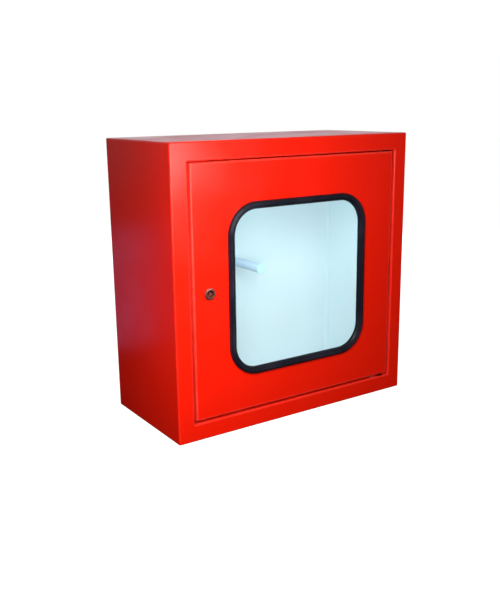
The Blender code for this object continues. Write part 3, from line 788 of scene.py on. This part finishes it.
def door_sheet():
    """The door's folded sheet, cut out for the window, the lock and the hinge bushes."""
    corner_radius = 1.5 * MM
    inner_fold = BEND - SHEET
    rear = DOOR_DEPTH
    hem = 12 * MM
    near = BEND + FLAT_SUPPORT
    section = [(near + FLAT_SUPPORT, 0, 0), (near, 0, 0)]
    # The fold levels below paint the door's folds lighter: rubbed paint and a painted highlight.
    section += with_wear_highlight(arc(BEND, BEND, BEND, 270, 180, FOLD_STEPS), 0.3)
    section += with_wear_highlight(arc(BEND, rear - BEND, BEND, 180, 90, FOLD_STEPS), 0.5)
    section += [(hem, rear, 0.5), (hem, rear - SHEET, 0)]
    section += with_wear_highlight(arc(BEND, rear - BEND, inner_fold, 90, 180, FOLD_STEPS), 0)
    section += with_wear_highlight(arc(BEND, BEND, inner_fold, 180, 270, FOLD_STEPS), 0)
    section += [(near, SHEET, 0)]
    cut_out = GLASS_BITE + GASKET_WEB
    rings = [window_ring(cut_out, DOOR_Y), window_ring(cut_out + 10 * MM, DOOR_Y)]
    rings += rings_of(
        section,
        DOOR_HALF,
        DOOR_HALF,
        DOOR_Y,
        WINDOW_STEPS,
        lambda inset: max(corner_radius - inset, 0.2 * MM),
        rise=DOOR_RISE,
    )
    rings += [window_ring(cut_out + 10 * MM, DOOR_Y + SHEET), window_ring(cut_out, DOOR_Y + SHEET)]
    sheet = new_object("door_sheet", skin(rings))
    reach = 4 * MM
    places = [(HINGE.x, HINGE.y, z) for z in (door_low.z, door_high.z)]
    cutters = [drill(place, UPWARDS, BUSH_RADIUS + GAP, reach, 40) for place in places]
    cutters.append(drill(LOCK, REARWARDS, LOCK_BARREL + GAP, reach, ROUND_STEPS))
    carve(sheet, *cutters)
    piece(sheet, RED, "door", "red_paint", "door_panel")


def open_loop(outwards, y, joint_x, joint_gap):
    """A window ring that starts and ends at a butt joint on the bottom run."""
    points = window_ring(outwards, y)
    quarter = len(points) // 4
    points = points[3 * quarter :] + points[: 3 * quarter]
    bottom = MID_Z + VIEW_SHIFT - VIEW_HALF_Z - outwards
    start = (Vector((joint_x + joint_gap / 2, y, bottom)), 0.0)
    end = (Vector((joint_x - joint_gap / 2, y, bottom)), 0.0)
    return [start] + points + [end]


def glazing():
    """The pane, its rubber gasket, and the filler strip that locks the gasket on the sheet."""
    thickness = glass_high.y - glass_low.y
    arris = 0.5 * MM
    section = [(-arris, 0), (0, arris), (0, thickness - arris), (-arris, thickness)]
    rings = [window_ring(GLASS_BITE + out, glass_low.y + depth) for out, depth in section]
    pane = new_object("glass_pane", skin(rings, closed=False))
    piece(pane, GLASS, "door", "glass", "window_glass")

    gasket_low, gasket_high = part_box("window_gasket")
    front, rear = gasket_low.y - DOOR_Y, gasket_high.y - DOOR_Y
    outer = gasket_high.x - VIEW_HALF_X
    glass_front = glass_low.y - DOOR_Y - GAP
    glass_rear = glass_high.y - DOOR_Y + GAP
    glass_slot = GLASS_BITE + GAP
    panel_slot = GLASS_BITE + GASKET_WEB - GAP
    lip_inner, lip_outer = 6.4 * MM, 11.1 * MM
    groove_floor = -4.2 * MM
    corners = [
        (0, glass_front, 0.3 * MM),
        (0, front + 5.2 * MM, 1.0 * MM),
        (2.6 * MM, front + 2.0 * MM, 3.0 * MM),
        (lip_inner, front + 0.2 * MM, 0.8 * MM),
        (lip_inner + 0.5 * MM, groove_floor, 0.4 * MM),
        (lip_outer - 0.5 * MM, groove_floor, 0.4 * MM),
        (lip_outer, front, 0.7 * MM),
        (outer - 1.6 * MM, front + 0.8 * MM, 2.0 * MM),
        (outer, front + 4.6 * MM, 2.0 * MM),
        (outer, -GAP, 0.3 * MM),
        (panel_slot, -GAP, 0.2 * MM),
        (panel_slot, SHEET + GAP, 0.2 * MM),
        (outer, SHEET + GAP, 0.3 * MM),
        (outer, 3.8 * MM, 1.6 * MM),
        (outer - 1.6 * MM, rear, 2.4 * MM),
        (2.2 * MM, rear, 2.4 * MM),
        (0, 4.6 * MM, 1.8 * MM),
        (0, glass_rear, 0.3 * MM),
        (glass_slot, glass_rear, 0.2 * MM),
        (glass_slot, glass_front, 0.2 * MM),
    ]
    section = rounded(corners, 0, 5)
    rows = [open_loop(out, DOOR_Y + depth, 4 * MM, 0.5 * MM) for out, depth in section]
    gasket = new_object("glazing_rubber", skin(rows, wrapped=False))
    piece(gasket, RUBBER, "door", "rubber", "window_gasket")

    strip_low, strip_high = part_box("gasket_lock_strip")
    crest, foot = strip_low.y - DOOR_Y, strip_high.y - DOOR_Y
    corners = [
        (lip_inner + 0.85 * MM, foot, 0.3 * MM),
        (lip_outer - 0.85 * MM, foot, 0.3 * MM),
        (lip_outer - 0.35 * MM, crest + 0.5 * MM, 0.8 * MM),
        (lip_outer - 1.5 * MM, crest, 1.2 * MM),
        (lip_inner + 1.5 * MM, crest, 1.2 * MM),
        (lip_inner + 0.35 * MM, crest + 0.5 * MM, 0.8 * MM),
    ]
    section = rounded(corners, 0, 4)
    rows = [open_loop(out, DOOR_Y + depth, 9 * MM, 0.8 * MM) for out, depth in section]
    strip = new_object("glazing_filler", skin(rows, wrapped=False))
    piece(strip, STRIP_RUBBER, "door", "rubber", "gasket_lock_strip")


# ---------------------------------------------------------------- lock


def lock_ring(sides, apothem, y, cap=1.0, turn=0.0, points=72):
    """A regular polygon about the lock's axis with its corners cut back to the cap radius."""
    part = math.tau / sides
    result = []
    for step in range(points):
        angle = math.tau * step / points
        radius = min(cap, apothem / math.cos((angle - turn) % part - part / 2))
        place = Vector((LOCK.x + radius * math.cos(angle), y, LOCK.z + radius * math.sin(angle)))
        result.append((place, 0.0))
    return result


def lock_circle(radius, y, points=72):
    """A circle about the lock's axis, with its points in step with lock_ring's."""
    return lock_ring(points, radius, y, 1.0, math.pi / points, points)


def lock_disc(name, node, inner, material, body, slot):
    """A washer or sealing ring about the lock's axis, as wide and as thick as its node."""
    low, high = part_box(node)
    outline = washer_outline(inner, high.x - LOCK.x, low.y - LOCK.y, high.y - LOCK.y)
    disc = new_object(name, turned(outline, LOCK, REARWARDS))
    piece(disc, material, body, slot, node)


def lock_body():
    """The housing with its bezel, and the ring, washer and nut that clamp it to the door."""
    low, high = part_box("lock_housing")
    bezel_radius = high.x - LOCK.x
    front, barrel_end = low.y - LOCK.y, high.y - LOCK.y
    bezel_rear = -1.4 * MM
    recess, floor, bore = 7 * MM, 5.3 * MM, 4.6 * MM
    corners = [
        (recess, floor, 0.2 * MM),
        (recess, front + 0.4 * MM, 0.5 * MM),
        (recess + 0.6 * MM, front, 0.4 * MM),
        (bezel_radius - 2.6 * MM, front, 0.8 * MM),
        (bezel_radius - 0.5 * MM, front + 1.0 * MM, 0.8 * MM),
        (bezel_radius, bezel_rear, 0.2 * MM),
        (LOCK_BARREL, bezel_rear, 0),
        (LOCK_BARREL, barrel_end, 0.6 * MM),
        (bore, barrel_end, 0.3 * MM),
        (bore, floor, 0),
    ]
    body = new_object("lock_bezel", turned(rounded(corners, 0, 5), LOCK, REARWARDS))
    piece(body, CHROME_PAINTED_RED_REFLECTION, "door", "chrome", "lock_housing")

    thread = LOCK_BARREL + GAP
    lock_disc("lock_seal_ring", "lock_gasket", thread, RUBBER, "door", "rubber")
    lock_disc("lock_clamp_washer", "lock_washer", thread, ZINC, "door", "zinc")

    low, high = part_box("lock_nut")
    flats = high.z - LOCK.z

    def chamfered(depth, y):
        """The hexagon at y, where the face's 30 degree chamfer is this deep."""
        return lock_ring(6, flats, y, flats - 0.1 * MM + depth * math.sqrt(3))

    depths = [step * 0.28 * MM for step in range(5)]
    rings = [chamfered(depth, low.y + depth) for depth in depths]
    rings += [chamfered(depth, high.y - depth) for depth in reversed(depths)]
    edge = 0.5 * MM
    rings += [lock_circle(thread + edge, high.y), lock_circle(thread, high.y - edge)]
    rings += [lock_circle(thread, low.y + edge), lock_circle(thread + edge, low.y)]
    nut = new_object("lock_hex_nut", skin(rings))
    piece(nut, ZINC, "door", "zinc", "lock_nut")


def lock_core():
    """The spindle: a triangular key post on a disc, a round shaft and a square drive."""
    low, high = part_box("lock_spindle")
    disc_radius = high.x - LOCK.x
    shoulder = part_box("lock_cam")[0].y - GAP
    disc_front, disc_rear = LOCK.y + 2.2 * MM, LOCK.y + 5.0 * MM
    shaft, square = 4.5 * MM, DRIVE_HALF
    up, diagonal = math.radians(90), math.radians(45)
    chip = 0.3 * MM
    rings = [
        lock_ring(3, 2.5 * MM, low.y, 4.2 * MM, up),
        lock_ring(3, 2.9 * MM, low.y + 0.4 * MM, 4.6 * MM, up),
        lock_ring(3, 2.9 * MM, disc_front, 4.6 * MM, up),
        lock_circle(disc_radius - 0.4 * MM, disc_front),
        lock_circle(disc_radius, disc_front + 0.4 * MM),
        lock_circle(disc_radius, disc_rear),
        lock_circle(shaft, disc_rear),
        lock_circle(shaft, shoulder - chip),
        lock_circle(shaft - chip, shoulder),
        lock_ring(4, square, shoulder, 4.4 * MM, diagonal),
        lock_ring(4, square, high.y - chip, 4.4 * MM, diagonal),
        lock_ring(4, square - chip, high.y, 4.1 * MM, diagonal),
    ]
    core = new_object("lock_core", skin(rings, closed=False))
    piece(core, CHROME_PAINTED_RED_REFLECTION, "lock_rotor", "chrome", "lock_spindle")


def lock_cam():
    """The tongue that catches behind the stop, with its washer and cross-head screw."""
    low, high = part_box("lock_cam")
    half = high.x - LOCK.x
    reach = LOCK.z - low.z

    def flat(x, z, y):
        """A point across and up from the lock's axis, at depth y."""
        return (LOCK.x + x, y, LOCK.z + z)

    outline = arc(0, 0, half, 0, 180, 24) + arc(0, half - reach, half, 180, 360, 24)
    tongue = new_object("cam_tongue", extruded(outline, low.y, high.y, flat))
    side = DRIVE_HALF + GAP
    square = rounded([(-side, -side), (side, -side), (side, side), (-side, side)], 0.5 * MM)
    carve(tongue, extruded(square, low.y - SHEET, high.y + SHEET, flat))
    bevelled(tongue, 0.35 * MM, 3)
    piece(tongue, ZINC, "lock_rotor", "zinc", "lock_cam")

    lock_disc("cam_spring_washer", "cam_washer", 2.3 * MM, ZINC, "lock_rotor", "zinc")

    low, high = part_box("cam_screw")
    head_radius = high.x - LOCK.x
    start, end = low.y - LOCK.y, high.y - LOCK.y
    head = end - 2.8 * MM
    corners = [
        (0, start),
        (2 * MM, start, 0.4 * MM),
        (2 * MM, head, 0),
        (head_radius, head, 0.3 * MM),
        (head_radius, head + 1.2 * MM, 1.0 * MM),
        (0.7 * head_radius, end, 1.4 * MM),
        (0, end),
    ]
    screw = new_object("cam_cross_screw", turned(profile(corners, 0, 5), LOCK, REARWARDS, 48))
    blade, wing, sunk = 0.45 * MM, 2.1 * MM, end - 1.6 * MM
    cross = []
    for long_x, long_z in ((wing, blade), (blade, wing)):
        box = [(-long_x, -long_z), (long_x, -long_z), (long_x, long_z), (-long_x, long_z)]
        cross.append(extruded(box, LOCK.y + sunk, LOCK.y + end + SHEET, flat))
    carve(screw, *cross)
    piece(screw, ZINC, "lock_rotor", "zinc", "cam_screw")


# ---------------------------------------------------------------- stage


def camera():
    """A camera at the left front, a little above the cabinet's top."""
    yaw, pitch, roll = (math.radians(angle) for angle in (33.621, -14.031, -0.727))
    forward = Vector(
        (math.sin(yaw) * math.cos(pitch), math.cos(yaw) * math.cos(pitch), math.sin(pitch))
    )
    level = Vector((math.cos(yaw), -math.sin(yaw), 0))
    upright = level.cross(forward)
    right = math.cos(roll) * level + math.sin(roll) * upright
    up = math.cos(roll) * upright - math.sin(roll) * level
    data = bpy.data.cameras.new("camera")
    data.lens, data.sensor_width = 47.14, 36
    obj = bpy.data.objects.new("camera", data)
    turn = Matrix((right, up, -forward)).transposed().to_4x4()
    obj.matrix_world = Matrix.Translation((-0.9883, FACE_Y - 1.2967, 0.6665)) @ turn
    bpy.context.scene.collection.objects.link(obj)
    bpy.context.scene.camera = obj


def lamp(name, place, aim, size, power, color=(1, 1, 1), hidden=False):
    """A rectangular lamp. A hidden one is seen by no camera ray, reflection or refraction."""
    data = bpy.data.lights.new(name, "AREA")
    data.shape = "RECTANGLE"
    data.size, data.size_y = size
    data.energy = power
    data.color = color
    obj = bpy.data.objects.new(name, data)
    direction = Vector(aim) - Vector(place)
    obj.matrix_world = (
        Matrix.Translation(place) @ direction.to_track_quat("-Z", "Y").to_matrix().to_4x4()
    )
    obj.visible_camera = False
    if hidden:
        obj.visible_glossy = obj.visible_transmission = False
    bpy.context.scene.collection.objects.link(obj)
    return obj


def surround():
    """A studio that looks white to the camera, and lights the object dimly, more from behind."""
    world = bpy.data.worlds.new("surround")
    bpy.context.scene.world = world
    world.use_nodes = True
    tree = world.node_tree
    shade = tree.nodes["Background"]
    direction = add(tree, "ShaderNodeTexCoord").outputs["Generated"]
    rise = add(tree, "ShaderNodeSeparateXYZ", {0: direction}).outputs["Z"]
    rear = {0: direction, 1: (0.55, 0.83, 0)}
    rear = add(tree, "ShaderNodeVectorMath", rear, operation="DOT_PRODUCT").outputs["Value"]
    level = remap(tree, rise, -0.2, 0.1, 0.03, 1.0)
    level = math_node(tree, "MULTIPLY", level, remap(tree, rear, 0.42, 0.97, 0.12, 1.08))
    path = add(tree, "ShaderNodeLightPath")
    seen = math_node(
        tree, "MAXIMUM", path.outputs["Is Camera Ray"], path.outputs["Is Transmission Ray"]
    )
    warm, cool = (1.0, 0.93, 0.8, 1), (0.87, 0.93, 1.0, 1)
    tint = blend_colors(tree, remap(tree, rear, -0.2, 0.5), warm, cool)
    tint = blend_colors(tree, seen, tint, (1, 1, 1, 1))
    link(tree, tint, shade, "Color")
    link(tree, math_node(tree, "MAXIMUM", level, seen), shade, "Strength")


def studio_floor():
    """A plain pale floor, kept out of the reflections in the paint."""
    bm = bmesh.new()
    bmesh.ops.create_grid(bm, x_segments=8, y_segments=8, size=12)
    floor = new_object("floor", bm)
    made, tree, shader, place = new_material("floor_paper", Roughness=0.9)
    tone = blend_colors(tree, noise(tree, place, 2), (0.50, 0.50, 0.50, 1), (0.52, 0.52, 0.52, 1))
    link(tree, tone, shader, "Base Color")
    shader.inputs["Specular IOR Level"].default_value = 0.0
    shader.inputs["Emission Color"].default_value = (1, 1, 1, 1)
    shader.inputs["Emission Strength"].default_value = 0.9
    floor.data.materials.append(made)
    floor.visible_glossy = floor.visible_diffuse = False


def lamps():
    """The soft lamps, most of them kept out of reflections."""
    lamp(
        "key",
        (-0.45, FACE_Y - 0.5, 0.52),
        (-0.1, FACE_Y, 0.32),
        (0.25, 0.5),
        7.1,
        (1.0, 0.99, 0.95),
        hidden=True,
    )
    lamp("front", (-0.7, FACE_Y - 2.0, 1.45), (0, FACE_Y, 0.3), (0.8, 0.8), 18, hidden=True)
    # Only reflections show this one: it makes the glints on the lock, the folds and the gasket. It
    # stands inside the cabinet's outline, so that neither the side nor the top can mirror it, and
    # above the pane, which then mirrors it to no level or higher view.
    glint_place = (-0.16, FACE_Y - 0.5, 0.55)
    glint = lamp("glint", glint_place, (LOCK.x, FACE_Y, LOCK.z), (0.26, 0.09), 1.5)
    glint.visible_diffuse = False
    lamp("rear", (1.6, 1.9, 0.7), (0, 0, 0.35), (1.2, 0.8), 28, hidden=True)
    lamp(
        "side",
        (-0.43, WALL_Y + 0.22, 0.22),
        (-0.3, WALL_Y, 0.3),
        (0.1, 0.3),
        0.05,
        (0.35, 0.45, 1.0),
    )
    lamp(
        "low side",
        (-0.62, FACE_Y + 0.02, 0.16),
        (-0.3, FACE_Y + 0.1, 0.18),
        (0.15, 0.28),
        0.29,
        hidden=True,
    )
    across, up = -30 * MM, MID_Z + 105 * MM
    lamp(
        "inside",
        (across, FACE_Y + JAMB + 18 * MM, up),
        (across, WALL_Y, up),
        (0.5, 0.34),
        0.57,
        (0.67, 0.93, 1.0),
        hidden=True,
    )


bpy.context.scene.view_settings.view_transform = "Standard"
camera()
surround()
studio_floor()
lamps()
shell()
back_panel()
door_stops()
hinge_side_rail()
hose_peg()
pivots()
door_sheet()
glazing()
lock_body()
lock_core()
lock_cam()
